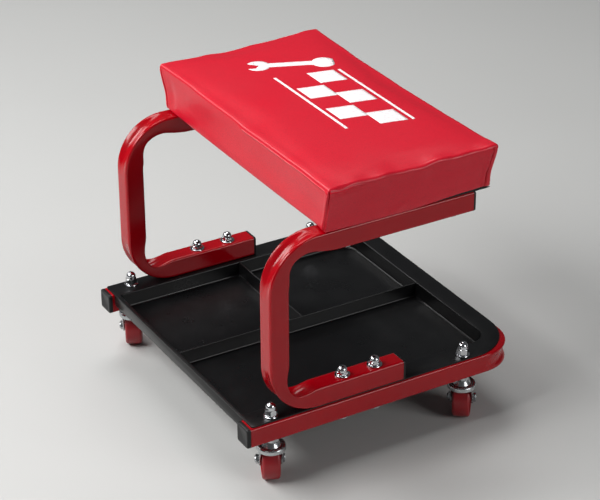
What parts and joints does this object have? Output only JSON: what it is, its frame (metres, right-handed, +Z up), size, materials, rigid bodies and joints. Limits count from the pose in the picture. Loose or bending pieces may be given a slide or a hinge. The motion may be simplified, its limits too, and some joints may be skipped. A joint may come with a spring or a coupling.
{
  "type": "rolling mechanic's seat",
  "caption": "Padded vinyl seat on C-shaped square-tube legs, bolted to a U-shaped rolling base frame with a divided tool tray and swivel casters.",
  "frame": {"origin": "on the floor, in the middle of the footprint with the casters as they stand at rest", "axes": "+X towards the base frame's closed end, +Y across the rails to the far side, +Z up"},
  "size_m": [0.3832, 0.4286, 0.3797],
  "materials": {
    "red_paint": "gloss red powder coat",
    "red_vinyl": "semi-gloss red vinyl cloth",
    "black_tray_plastic": "satin moulded black plastic",
    "black_cap_plastic": "satin black plastic",
    "red_wheel_plastic": "satin red plastic",
    "chrome": "bright zinc and chrome plate",
    "ball_steel": "polished steel balls",
    "foam": "open-cell foam",
    "plywood": "plain plywood",
    "black_liner": "matt black non-woven cloth"
  },
  "bodies": {
    "root": {"base_frame": "red_paint", "tool_tray": "black_tray_plastic", "leg_bolts": "chrome", "leg_washers": "chrome", "leg_nuts": "chrome", "caster_washers": "chrome", "caster_nuts": "chrome", "seat_board": "plywood", "seat_foam": "foam", "seat_cover": "red_vinyl", "seat_liner": "black_liner", "seat_staples": "chrome", "seat_screws": "chrome", "seat_tee_nuts": "chrome", "base_cap_near": "black_cap_plastic", "base_cap_far": "black_cap_plastic", "leg_frame_near": "red_paint", "leg_frame_far": "red_paint", "leg_cap_lower_near": "black_cap_plastic", "leg_cap_lower_far": "black_cap_plastic", "leg_cap_upper_near": "black_cap_plastic", "leg_cap_upper_far": "black_cap_plastic", "caster_stem_near_left": "chrome", "caster_cup_near_left": "chrome", "caster_stem_near_right": "chrome", "caster_cup_near_right": "chrome", "caster_stem_far_left": "chrome", "caster_cup_far_left": "chrome", "caster_stem_far_right": "chrome", "caster_cup_far_right": "chrome"},
    "fork_near_left": {"caster_fork_near_left": "chrome", "caster_balls_near_left": "ball_steel", "caster_axle_near_left": "chrome", "caster_axle_nut_near_left": "chrome"},
    "wheel_near_left": {"caster_wheel_near_left": "red_wheel_plastic"},
    "fork_near_right": {"caster_fork_near_right": "chrome", "caster_balls_near_right": "ball_steel", "caster_axle_near_right": "chrome", "caster_axle_nut_near_right": "chrome"},
    "wheel_near_right": {"caster_wheel_near_right": "red_wheel_plastic"},
    "fork_far_left": {"caster_fork_far_left": "chrome", "caster_balls_far_left": "ball_steel", "caster_axle_far_left": "chrome", "caster_axle_nut_far_left": "chrome"},
    "wheel_far_left": {"caster_wheel_far_left": "red_wheel_plastic"},
    "fork_far_right": {"caster_fork_far_right": "chrome", "caster_balls_far_right": "ball_steel", "caster_axle_far_right": "chrome", "caster_axle_nut_far_right": "chrome"},
    "wheel_far_right": {"caster_wheel_far_right": "red_wheel_plastic"}
  },
  "joints": [
    {"name": "swivel_near_left", "type": "hinge", "parent": "root", "child": "fork_near_left", "pos_m": [-0.1536, -0.19087, 0.052], "axis": [0, 0, 1], "continuous": true},
    {"name": "roll_near_left", "type": "hinge", "parent": "fork_near_left", "child": "wheel_near_left", "pos_m": [-0.14578, -0.17411, 0.025], "axis": [-0.9063, 0.4226, 0], "continuous": true},
    {"name": "swivel_near_right", "type": "hinge", "parent": "root", "child": "fork_near_right", "pos_m": [0.1136, -0.19087, 0.052], "axis": [0, 0, 1], "continuous": true},
    {"name": "roll_near_right", "type": "hinge", "parent": "fork_near_right", "child": "wheel_near_right", "pos_m": [0.12524, -0.1765, 0.025], "axis": [-0.7771, 0.6293, 0], "continuous": true},
    {"name": "swivel_far_left", "type": "hinge", "parent": "root", "child": "fork_far_left", "pos_m": [-0.1536, 0.17213, 0.052], "axis": [0, 0, 1], "continuous": true},
    {"name": "roll_far_left", "type": "hinge", "parent": "fork_far_left", "child": "wheel_far_left", "pos_m": [-0.1452, 0.18861, 0.025], "axis": [-0.891, 0.454, 0], "continuous": true},
    {"name": "swivel_far_right", "type": "hinge", "parent": "root", "child": "fork_far_right", "pos_m": [0.1136, 0.17213, 0.052], "axis": [0, 0, 1], "continuous": true},
    {"name": "roll_far_right", "type": "hinge", "parent": "fork_far_right", "child": "wheel_far_right", "pos_m": [0.12285, 0.18815, 0.025], "axis": [-0.866, 0.5, 0], "continuous": true}
  ]
}
